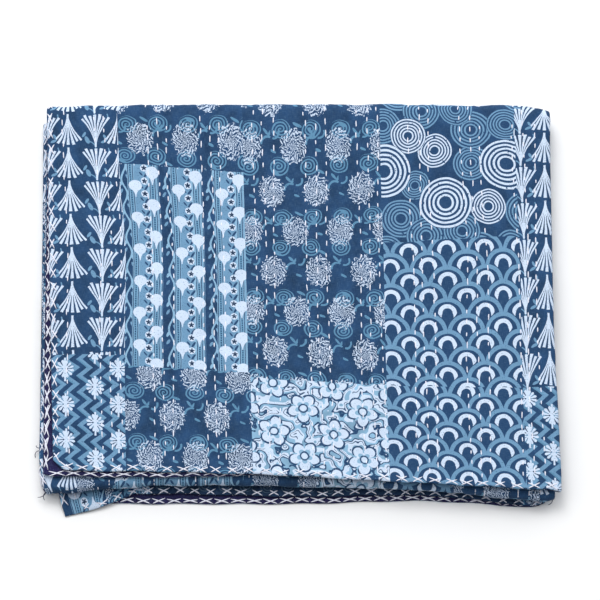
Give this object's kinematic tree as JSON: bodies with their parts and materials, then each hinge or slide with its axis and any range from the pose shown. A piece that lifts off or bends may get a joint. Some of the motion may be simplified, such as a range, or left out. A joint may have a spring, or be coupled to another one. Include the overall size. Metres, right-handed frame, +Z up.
{
  "type": "folded quilt",
  "caption": "Hand-stitched patchwork kantha quilt of layered cotton, folded in half and then back and forth into a flat stack for a shelf or the foot of a bed.",
  "frame": {"origin": "centre of the folded quilt's footprint, on the surface it lies on", "axes": "+Z up, +X towards the side fold, -Y towards the hems and the near fold in front"},
  "size_m": [0.7402, 0.6142, 0.0415],
  "materials": {
    "printed_cotton": "matt block-printed cotton, indigo with light blue and white",
    "navy_backing": "matt plain navy cotton",
    "white_thread": "soft cotton thread"
  },
  "bodies": {
    "root": {"quilt": "printed_cotton"}
  },
  "joints": []
}
